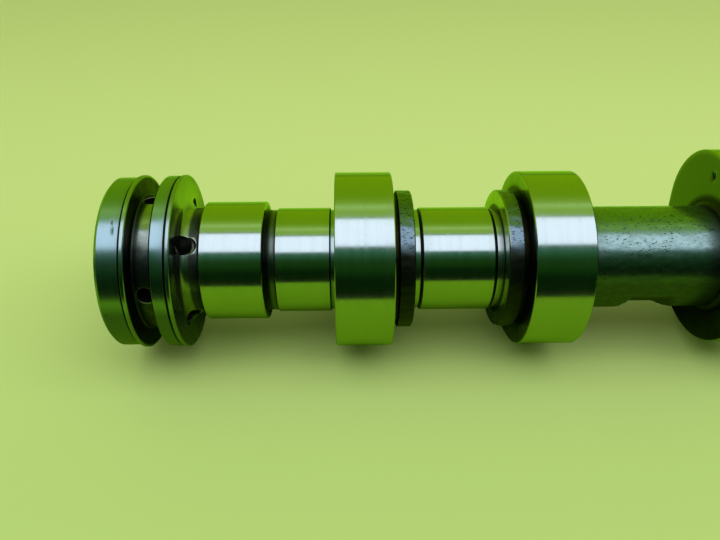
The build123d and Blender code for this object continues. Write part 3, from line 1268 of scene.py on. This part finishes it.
    def nicks(self) -> list[Dent]:
        """Handling nicks on the front flange's rim, by place, angle, length, width and depth.

        Returns:
            The nicks.
        """
        rim = self.front_flange_diameter / 2
        nicks = []
        for x, angle, long, wide, deep in (
            (3.7 * MM, 118.5, 0.45 * MM, 1.5 * MM, 0.08 * MM),
            (3.4 * MM, 113.0, 0.35 * MM, 0.9 * MM, 0.05 * MM),
            (1.3 * MM, 173.5, 0.7 * MM, 0.7 * MM, 0.14 * MM),
            (2.1 * MM, 176.5, 0.5 * MM, 0.7 * MM, 0.10 * MM),
        ):
            out = unit_at(angle)
            nicks.append(Dent(out * rim + [x, 0, 0], (long, wide, wide), -out * deep))
        return nicks

    def build(self, finishes: FinishRack) -> bpy.types.Object:
        """Builds the head with its holes and nicks.

        Args:
            finishes: where the materials come from.

        Returns:
            The piece.
        """
        rings = self.outline().rings()
        self.paint_neck_shade(rings)
        skin = skin_of_rings(rings, np.zeros(SEGMENTS), seed=1)
        # painted shade on the lower side of the groove's floor and of the neck
        front, rear = self.groove_x + self.lower_shade_inset, self.rear_flange_x - self.lower_shade_inset
        stains_and_shade = self.groove_lower_shade.share(skin, front, rear)
        neck = self.neck_lower_shade.share(skin, self.neck_x, self.journal_x - self.lower_shade_inset)
        stains_and_shade = np.maximum(stains_and_shade, neck)
        for nick in self.nicks():
            stains_and_shade = np.maximum(stains_and_shade, nick.stain_and_shade(skin))
            skin = nick.press(skin)
        mesh = mesh_of_skin("shaft_head", skin, rings, finishes, stains_and_shade)
        return place_piece("shaft_head", cut_holes(mesh, self.drillings(), finishes))


@dataclass
class CylinderGroup:
    """Two lobes of one cylinder with a bearing journal between two collars."""

    start: float
    nose_angle: float
    number: int
    cam: CamProfile = CamProfile()
    lobe_width: float = 12.2 * MM
    lobe_chamfer: float = 0.2 * MM
    face_step: float = 0.5 * MM
    face_inset: float = 0.05 * MM  # from the chamfer down to the last ring of a side face
    inner_shade: float = 3.6 * MM  # a face beside a groove is painted black as shade up to here below the base circle
    inner_clear: float = 2.2 * MM  # and clean from here
    outer_shade: float = 2.0 * MM  # the front lobe's front face is painted black as shade up to here above the core
    outer_clear: float = 3.4 * MM  # and only dull from here
    groove_width: float = 1.2 * MM
    groove_diameter: float = 27.6 * MM
    collar_width: float = 3.2 * MM
    collar_diameter: float = 30.6 * MM
    collar_chamfer: float = 0.25 * MM
    collar_lip: float = 0.3 * MM  # height of the edge beside the groove above its painted shade
    collar_shade: float = 0.1 * MM  # width of the dull edge round the rear collar's front face
    neck_width: float = 1.9 * MM
    neck_diameter: float = 22.2 * MM
    neck_rounding: float = 0.2 * MM
    neck_foot: float = 1.0 * MM  # the collar's face is painted black as shade up to this height over the neck
    neck_fade: float = 0.4 * MM  # and clean so much further out, on the rear collar
    neck_shade: float = 0.25 * MM  # width of the neck's own edge, painted black as shade
    line_width: float = 0.5 * MM
    line_depth: float = 0.15 * MM
    line_rounding: float = 0.05 * MM
    journal_diameter: float = 23.0 * MM
    journal_length: float = 15.3 * MM
    ground_chamfer: float = 0.2 * MM
    core_diameter: float = 22.0 * MM
    skin_lump: float = 0.04 * MM
    skin_step: float = 0.4 * MM
    skin_rounding: float = 0.15 * MM
    # painted shade: faces and collars are darker towards the bottom
    face_lower_shade: LowerShade = LowerShade(-2.0 * MM, -9.0 * MM, 0.85)
    face_lower_shade_radius: float = 13.0 * MM
    collar_lower_shade: LowerShade = LowerShade(12.6 * MM, 10.6 * MM, 0.95)
    punched: bool = False
    punch_radius: float = 17.9 * MM
    punch_angle: float = 60.5
    punch_reach: tuple[float, float, float] = (0.5 * MM, 1.1 * MM, 1.1 * MM)
    punch_depth: float = 0.8 * MM

    @property
    def spacing(self) -> float:
        """Distance from the front lobe to the rear one."""
        gap = self.groove_width + self.collar_width + self.neck_width
        return self.lobe_width + 2 * gap + self.journal_length

    @property
    def end(self) -> float:
        """Where the rear lobe ends."""
        return self.start + self.spacing + self.lobe_width

    def lobe(self, line: Outline, x: float, front_face: float, rear_face: float) -> None:
        """Adds one lobe's corners.

        Args:
            line: the outline that it goes on.
            x: where the lobe starts.
            front_face: radius at which its front face starts.
            rear_face: radius at which its rear face ends.
        """
        base, core = self.cam.base_radius, self.core_diameter / 2
        cut, end = self.lobe_chamfer, x + self.lobe_width
        side = {"finish": Finish.TURNED, "step": self.face_step, "rounding": 0}
        shade, clear = base - self.inner_shade, base - self.inner_clear
        # painted shade: a face is black near a groove or the cast shaft
        line.go(x, front_face, **side, scale=2.0)
        if front_face > core:
            steps = ((shade, 2.0), (clear, 0.7))
            rim_scale = 0.5
        else:
            steps = ((front_face + self.outer_shade, 1.9), (front_face + self.outer_clear, 1.2))
            rim_scale = 1.1
        for radius, scale in steps:
            line.go(x, radius, **side, scale=scale)
        line.go(x, base - cut - self.face_inset, **side, share=1.0, scale=rim_scale)
        line.go(x, base - cut, share=1.0, rounding=0, scale=1.0)
        line.go(x + cut, base, share=1.0)
        line.go(end - cut, base, share=1.0)
        line.go(end, base - cut, share=1.0, **side)
        if rear_face > core:
            line.go(end, clear, **side, scale=0.5)
            line.go(end, shade, **side, scale=2.0)
            line.go(end, rear_face, finish=Finish.CAST, scale=2.0, step=self.skin_step)
        else:
            line.go(end, rear_face, **side)

    def front_collar(self, line: Outline, x: float) -> None:
        """Adds the collar behind the front lobe, and the neck behind it.

        Args:
            line: the outline that they go on.
            x: where the collar starts.
        """
        groove, neck = self.groove_diameter / 2, self.neck_diameter / 2
        collar, end = self.collar_diameter / 2, x + self.collar_width
        turned, black, rough = {"finish": Finish.TURNED}, self.skin(2.0), self.skin(1.0)
        # painted shade: the collar's face beside the groove and its foot on the neck are black
        line.go(x, groove, **black)
        line.go(x, collar - self.collar_lip, **black)
        line.go(x, collar, **rough)
        line.go(end - self.collar_chamfer, collar, **rough)
        line.go(end, collar - self.collar_chamfer, scale=0.8, **turned)
        line.go(end, neck + self.neck_foot, rounding=0, **turned)
        line.go(end, neck, rounding=self.neck_rounding, scale=2.0, **turned)
        line.go(end + self.neck_shade, neck, rounding=0)

    def rear_collar(self, line: Outline, x: float) -> None:
        """Adds the collar in front of the rear lobe, and the rear side of the neck before it.

        Args:
            line: the outline that they go on.
            x: where the collar starts.
        """
        groove, neck = self.groove_diameter / 2, self.neck_diameter / 2
        collar, end = self.collar_diameter / 2, x + self.collar_width
        foot, rim = neck + self.neck_foot, collar - self.collar_chamfer
        turned, black, rough = {"finish": Finish.TURNED}, self.skin(2.0), self.skin(1.0)
        # painted shade: the collar's foot on the neck and its face beside the groove are black
        line.go(x - self.neck_shade, neck, rounding=0, **turned)
        line.go(x, neck, rounding=self.neck_rounding, scale=2.0, **turned)
        line.go(x, foot, rounding=0, scale=1.6, **turned)
        line.go(x, foot + self.neck_fade, rounding=0, **turned)
        line.go(x, rim - self.collar_shade, rounding=0, **turned)
        line.go(x, rim, rounding=0, scale=1.0, **turned)
        line.go(x + self.collar_chamfer, collar, **rough)
        line.go(end, collar, **rough)
        line.go(end, collar - self.collar_lip, **black)
        line.go(end, groove, **black)

    def skin(self, scale: float) -> dict[str, object]:
        """Looks of the collars' cast skin, at a scale from dull to painted black as shade."""
        looks = {"lump": self.skin_lump, "step": self.skin_step, "rounding": self.skin_rounding}
        return {"finish": Finish.CAST, "scale": scale, **looks}

    def outline(self) -> Outline:
        """Draws the group from inside the front lobe to inside the rear one.

        Returns:
            The outline.
        """
        line = Outline()
        core, groove, neck = self.core_diameter / 2, self.groove_diameter / 2, self.neck_diameter / 2
        turned = {"finish": Finish.TURNED}
        # the thin lines beside the journal are painted black as shade
        dark = {**turned, "scale": 2.0, "rounding": self.line_rounding}
        floor = neck - self.line_depth
        line.go(self.start, 0.0, rounding=0, **turned)
        self.lobe(line, self.start, core, groove)
        x = self.start + self.lobe_width + self.groove_width
        self.front_collar(line, x)
        x += self.collar_width + self.neck_width
        line.go(x - self.line_width, neck, rounding=self.line_rounding, **turned)
        line.go(x - self.line_width, floor, **dark)
        line.go(x, floor, **dark)
        line.go(x, neck, **{**dark, "scale": 1.5, "rounding": 0})
        ground = (self.ground_chamfer, self.ground_chamfer)
        line.land(x, self.journal_length, self.journal_diameter, *ground)
        x += self.journal_length
        line.go(x, neck, **{**dark, "rounding": 0})
        line.go(x, floor, **dark)
        line.go(x + self.line_width, floor, **dark)
        line.go(x + self.line_width, neck, rounding=self.line_rounding)
        self.rear_collar(line, x + self.neck_width)
        self.lobe(line, self.start + self.spacing, groove, core)
        line.go(self.end, 0.0, rounding=0, **turned)
        return line

    def dirt_and_shade(self, skin: np.ndarray, rings: Rings) -> np.ndarray:
        """Painted shade on the lower side of the lobes' faces and of the collars, darker towards the
        bottom.

        Args:
            skin: the vertex places.
            rings: the group's rings, for their finishes.

        Returns:
            The painted shade of each vertex.
        """
        ground = (rings.finish == Finish.GROUND.value)[:, None]
        low = self.face_lower_shade.share(skin, self.start, self.end, self.face_lower_shade_radius)
        stains_and_shade = np.where(ground, 0.0, low)
        rim = self.collar_diameter / 2 - self.collar_chamfer
        first = self.start + self.lobe_width + self.groove_width
        second = self.start + self.spacing - self.groove_width - self.collar_width
        for x in (first, second):
            collar = self.collar_lower_shade.share(skin, x, x + self.collar_width, rim)
            stains_and_shade = np.maximum(stains_and_shade, collar)
        return stains_and_shade

    def build(self, finishes: FinishRack) -> bpy.types.Object:
        """Builds the group with its nose at its own angle.

        Args:
            finishes: where the materials come from.

        Returns:
            The piece.
        """
        lift = self.cam.lift_at(ring_angles() - math.radians(self.nose_angle))
        rings = self.outline().rings()
        skin = skin_of_rings(rings, lift, seed=10 + self.number)
        stains_and_shade = self.dirt_and_shade(skin, rings)
        if self.punched:
            place = unit_at(self.punch_angle) * self.punch_radius + [self.start, 0, 0]
            push = np.array([self.punch_depth, 0, 0])
            punch = Dent(place, self.punch_reach, push, gain=2.5, loss=0.8)
            stains_and_shade = np.maximum(stains_and_shade, punch.stain_and_shade(skin))
            skin = punch.press(skin)
        name = f"cylinder_{self.number}"
        return place_piece(name, mesh_of_skin(name, skin, rings, finishes, stains_and_shade))


@dataclass
class CastShaft:
    """The skimmed casting between two cylinders, flared into the lobes at either end."""

    start: float
    end: float
    number: int
    diameter: float = 22.8 * MM
    fillet: float = 1.2 * MM
    flare: float = 2.2  # height of the flare's foot in the lobe, in fillets
    lump: float = 0.006 * MM
    scale: float = 0.35
    step: float = 0.55 * MM
    milled: bool = False
    flat_gap: float = 12.6 * MM
    flat_length: float = 9.0 * MM
    flat_depth: float = 1.7 * MM
    flat_angle: float = math.radians(220)
    least_cosine: float = 0.05  # keeps the flat off the shaft's far side
    sunk: float = 0.4 * MM
    hidden: float = 0.02 * MM  # how far inside the lobe the flare starts
    # painted shade at the lobes' feet, and how far it reaches
    grime_and_shade: float = 0.97
    grime_and_shade_reach: float = 1.5 * MM

    def outline(self) -> Outline:
        """Draws the stretch, sunk into the lobes at its ends.

        Returns:
            The outline.
        """
        line = Outline()
        looks = {"finish": Finish.CAST, "scale": self.scale, "lump": self.lump, "step": self.step}
        radius = self.diameter / 2
        foot = radius + self.flare * self.fillet
        front, rear = self.start - self.hidden, self.end + self.hidden
        for x, height, rounding in (
            (self.start - self.sunk, 0.0, 0),
            (self.start - self.sunk, foot, 0),
            (front, foot, 0),
            (front, radius, self.fillet),
            (rear, radius, self.fillet),
            (rear, foot, 0),
            (self.end + self.sunk, foot, 0),
            (self.end + self.sunk, 0.0, 0),
        ):
            line.go(x, height, rounding=rounding, **looks)
        return line

    def mill(self, skin: np.ndarray) -> np.ndarray:
        """Cuts the flat.

        The distance from the axis becomes min(R, h(x) / cos(a - flat angle)), where h is the flat's
        height over the axis, which rises at 45 degrees past the flat's ends.

        Args:
            skin: the vertex places.

        Returns:
            The places with the flat cut.
        """
        middle = self.start + self.flat_gap + self.flat_length / 2
        past = np.maximum(np.abs(skin[..., 0] - middle) - self.flat_length / 2, 0)
        height = self.diameter / 2 - self.flat_depth + past
        radius = np.hypot(skin[..., 1], skin[..., 2])
        angle = np.arctan2(skin[..., 2], skin[..., 1]) - self.flat_angle
        limit = height / np.maximum(np.cos(angle), self.least_cosine)
        factor = np.minimum(1, limit / np.maximum(radius, TINY))
        return skin * np.stack([np.ones_like(factor), factor, factor], axis=-1)

    def build(self, finishes: FinishRack) -> bpy.types.Object:
        """Builds the stretch, whose painted shade fades with exp(-d / reach) from its fillets inwards.

        Args:
            finishes: where the materials come from.

        Returns:
            The piece.
        """
        rings = self.outline().rings()
        inwards = np.minimum(rings.x - self.start, self.end - rings.x)
        beyond = np.clip(inwards - self.fillet, 0, None)
        rings.grime_and_shade = self.grime_and_shade * np.exp(-beyond / self.grime_and_shade_reach)
        skin = skin_of_rings(rings, np.zeros(SEGMENTS), seed=20 + self.number)
        if self.milled:
            skin = self.mill(skin)
        name = f"cast_shaft_{self.number}"
        return place_piece(name, mesh_of_skin(name, skin, rings, finishes))


@dataclass
class RearEnd:
    """The plain ground land behind the last lobe."""

    start: float
    relief_diameter: float = 22.4 * MM
    relief_length: float = 1.0 * MM
    diameter: float = 23.2 * MM
    length: float = 13.0 * MM
    chamfer: float = 0.2 * MM
    sunk: float = 0.5 * MM

    def build(self, finishes: FinishRack) -> bpy.types.Object:
        """Builds the rear end, whose front is sunk into the last lobe.

        Args:
            finishes: where the materials come from.

        Returns:
            The piece.
        """
        line = Outline()
        turned = {"finish": Finish.TURNED}
        relief, x = self.relief_diameter / 2, self.start + self.relief_length
        line.go(self.start - self.sunk, 0.0, rounding=0, **turned)
        line.go(self.start - self.sunk, relief, rounding=0, **turned)
        line.go(x, relief, **turned)
        line.land(x, self.length, self.diameter, self.chamfer, self.chamfer)
        line.go(x + self.length, 0.0, rounding=0, **turned)
        rings = line.rings()
        skin = skin_of_rings(rings, np.zeros(SEGMENTS), seed=30)
        return place_piece("rear_end", mesh_of_skin("rear_end", skin, rings, finishes))


@dataclass
class Camshaft:
    """The whole shaft: its head, four cylinders, the cast shaft between them and its rear end."""

    head: Head = field(default_factory=Head)
    pitch: float = 84.0 * MM
    nose_angles: tuple[float, ...] = (-52.5, 37.5, -142.5, 127.5)
    punched: int = 2  # the cylinder with a punch mark on its front lobe
    milled: int = 1  # the cylinder with a flat behind it

    def build(self, finishes: FinishRack) -> None:
        """Builds every stretch in order along the shaft.

        Args:
            finishes: where the materials come from.
        """
        self.head.build(finishes)
        starts = [self.head.end_x + self.pitch * index for index in range(len(self.nose_angles))]
        for number, (start, nose) in enumerate(zip(starts, self.nose_angles), 1):
            group = CylinderGroup(start, nose, number, punched=number == self.punched)
            group.build(finishes)
            if number < len(starts):
                milled = number == self.milled
                CastShaft(group.end, start + self.pitch, number, milled=milled).build(finishes)
            else:
                RearEnd(group.end).build(finishes)


# ---------------------------------------------------------------------------------------------
# Studio
# ---------------------------------------------------------------------------------------------


@dataclass(frozen=True)
class ViewPoint:
    """The camera: where it stands, how it is turned, and its lens."""

    foot: float = 50.3 * MM  # along the shaft, of the camera's perpendicular on the axis
    distance: float = 145 * MM
    elevation: float = math.radians(42.5)
    yaw: float = math.radians(1.03)
    pitch: float = math.radians(-0.99)
    roll: float = math.radians(-0.555)
    film_width: float = 36.0  # in millimetres, as is the focal length
    focal_length: float = 32.0
    nearest: float = 0.005
    farthest: float = 50.0

    def make(self) -> bpy.types.Object:
        """Makes the scene's camera.

        Returns:
            The camera.
        """
        cos_e, sin_e = math.cos(self.elevation), math.sin(self.elevation)
        away, upright = Vector((0, cos_e, -sin_e)), Vector((0, sin_e, cos_e))
        side = Vector((1, 0, 0))
        forward = (
            side * math.sin(self.yaw) * math.cos(self.pitch)
            + away * math.cos(self.yaw) * math.cos(self.pitch)
            + upright * math.sin(self.pitch)
        )
        level = side * math.cos(self.yaw) - away * math.sin(self.yaw)
        top = level.cross(forward)
        right = level * math.cos(self.roll) + top * math.sin(self.roll)
        up = top * math.cos(self.roll) - level * math.sin(self.roll)
        data = bpy.data.cameras.new("camera")
        data.sensor_width = self.film_width
        data.sensor_fit = "HORIZONTAL"
        data.lens = self.focal_length
        data.clip_start, data.clip_end = self.nearest, self.farthest
        camera = add_object("camera", data)
        place = Vector((self.foot, 0, 0)) - away * self.distance
        facing = Matrix((right, up, -forward)).transposed().to_4x4()
        camera.matrix_world = Matrix.Translation(place) @ facing
        bpy.context.scene.camera = camera
        return camera


@dataclass(frozen=True)
class Studio:
    """Pale floor, a soft box overhead and a dim room that is darker on the camera's side.

    Metal mirrors the floor in painted reflections, in other colours than the eye sees it in:
    mirrored_edge, and then each of mirrored from its first to its second place along Y; the second
    is a painted shadow under the shaft. ramp gives the room that metal mirrors, by degrees from the
    level on the camera's side over the top to the level beyond.
    """

    paper: Colour = (0.88, 0.98, 0.30)
    # painted shade: the floor is darker towards the camera
    paper_shaded_near: Colour = (0.62, 0.77, 0.20)
    paper_shade_blend: tuple[float, float] = (-0.10, 0.12)
    paper_roughness: float = 0.85
    paper_shine: float = 0.2
    floor_reach: float = 6.0
    mirrored_edge: Colour = (0.01, 0.02, 0.005)
    mirrored: tuple[tuple[float, float, Colour], ...] = (
        (-0.20, -0.16, (0.28, 0.60, 0.004)),
        (-0.002, 0.004, (0.06, 0.15, 0.002)),
        (0.024, 0.044, (0.44, 0.95, 0.004)),
    )
    box_height: float = 0.50
    box_length: float = 1.20
    box_width: float = 0.378
    box_radiance: float = 2.1
    box_tilt: float = math.radians(18)
    box_colour: Colour = (0.76, 0.90, 1.0)
    fill_near: float = 0.0
    fill_far: float = 0.66
    fill_colour: Colour = (1.0, 1.0, 1.0)
    ramp: tuple[tuple[float, Colour], ...] = (
        (0, (0.004, 0.022, 0.002)),
        (17, (0.003, 0.022, 0.002)),
        (29, (0.010, 0.065, 0.004)),
        (40, (0.015, 0.076, 0.008)),
        (51, (0.030, 0.190, 0.070)),
        (58, (0.040, 0.180, 0.120)),
        (61, (0.010, 0.030, 0.030)),
        (94, (0.010, 0.030, 0.020)),
        (98, (0.400, 0.780, 0.120)),
        (105, (0.380, 0.720, 0.060)),
        (112, (0.600, 1.050, 0.260)),
        (118, (0.350, 0.680, 0.050)),
        (128, (0.255, 0.560, 0.006)),
        (180, (0.265, 0.570, 0.003)),
    )

    def floor(self) -> None:
        """Lays the floor where the shaft rests."""
        low, reach = float(CAD_BOUNDS[0][2]), self.floor_reach
        corners = [(x * reach, y * reach, low) for x, y in ((-1, -1), (1, -1), (1, 1), (-1, 1))]
        mesh = bpy.data.meshes.new("floor")
        mesh.from_pydata(corners, [], [(0, 1, 2, 3)])
        sheet = FinishSheet("paper")
        along = sheet.axes(sheet.place)["Y"]
        # painted reflections of the floor, seen only in the metal, with a painted shadow under the
        # shaft
        mirrored: object = self.mirrored_edge
        for start, end, colour in self.mirrored:
            mirrored = sheet.mixed(sheet.span(along, start, end), mirrored, colour)
        seen = sheet.mixed(sheet.span(along, *self.paper_shade_blend), self.paper_shaded_near, self.paper)
        in_metal = sheet.add("ShaderNodeLightPath").outputs["Is Glossy Ray"]
        sheet.feed(sheet.shader.inputs["Base Color"], sheet.mixed(in_metal, seen, mirrored))
        sheet.shader.inputs["Roughness"].default_value = self.paper_roughness
        sheet.shader.inputs["Specular IOR Level"].default_value = self.paper_shine
        mesh.materials.append(sheet.material)
        add_object("floor", mesh)

    def soft_box(self) -> None:
        """Hangs the soft box over the shaft; its power is radiance times pi times its area."""
        data = bpy.data.lights.new("soft_box", "AREA")
        data.shape = "RECTANGLE"
        data.size, data.size_y = self.box_length, self.box_width
        data.energy = self.box_radiance * math.pi * self.box_length * self.box_width
        data.color = self.box_colour
        lamp = add_object("soft_box", data)
        middle = float(CAD_BOUNDS[0][0] + CAD_BOUNDS[1][0]) / 2
        back, height = -math.sin(self.box_tilt), math.cos(self.box_tilt)
        lamp.location = (middle, self.box_height * back, self.box_height * height)
        lamp.rotation_euler = (-self.box_tilt, 0, 0)

    def room(self) -> None:
        """Lights the room by the angle atan2(z, -y), which is 0 on the camera's side and 180 beyond.

        Metal mirrors the ramp. Diffuse surfaces see an even fill that grows from fill_near to
        fill_far with the angle, and the camera sees paper.
        """
        world = bpy.data.worlds.new("room")
        bpy.context.scene.world = world
        world.use_nodes = True
        world.node_tree.nodes.clear()
        sheet = NodeSheet(world.node_tree)
        way = sheet.axes(sheet.add("ShaderNodeTexCoord").outputs["Generated"])
        toward = sheet.maths("MULTIPLY", way["Y"], -1.0)
        angle = sheet.maths("ARCTAN2", way["Z"], toward)
        share = sheet.maths("DIVIDE", angle, math.pi)
        ramp = sheet.add("ShaderNodeValToRGB")
        sheet.feed(ramp.inputs[0], share)
        elements = ramp.color_ramp.elements
        while len(elements) < len(self.ramp):
            elements.new(0.5)
        for element, (degrees, colour) in zip(elements, self.ramp):
            element.position = degrees / 180
            element.color = (*colour, 1.0)
        level = sheet.add("ShaderNodeMapRange")
        level.inputs["To Min"].default_value = self.fill_near
        level.inputs["To Max"].default_value = self.fill_far
        sheet.feed(level.inputs["Value"], share)
        ray = sheet.add("ShaderNodeLightPath").outputs
        shown = self.glow(sheet, ramp.outputs[0], 1.0)
        fill = self.glow(sheet, (*self.fill_colour, 1.0), level.outputs["Result"])
        backdrop = self.glow(sheet, (*self.paper, 1.0), 1.0)
        for kind, seen in (("Is Diffuse Ray", fill), ("Is Camera Ray", backdrop)):
            choice = sheet.add("ShaderNodeMixShader")
            for socket, source in zip(choice.inputs, (ray[kind], shown, seen)):
                sheet.feed(socket, source)
            shown = choice.outputs[0]
        sheet.feed(sheet.add("ShaderNodeOutputWorld").inputs["Surface"], shown)

    def glow(self, sheet: NodeSheet, colour: object, strength: object) -> bpy.types.NodeSocket:
        """One background of the room.

        Args:
            sheet: the room's node tree.
            colour: an output, or red, green, blue and 1.
            strength: an output or a number.

        Returns:
            The node's output.
        """
        node = sheet.add("ShaderNodeBackground")
        sheet.feed(node.inputs["Color"], colour)
        sheet.feed(node.inputs["Strength"], strength)
        return node.outputs[0]

    def build(self) -> None:
        """Sets up the floor, the lamp, the room and the camera."""
        self.floor()
        self.soft_box()
        self.room()
        ViewPoint().make()
        bpy.context.scene.view_settings.view_transform = "Standard"


def main() -> None:
    """Builds the shaft, then the studio round it."""
    finishes = FinishRack()
    Camshaft().build(finishes)
    Studio().build()


if __name__ == "__main__":
    main()
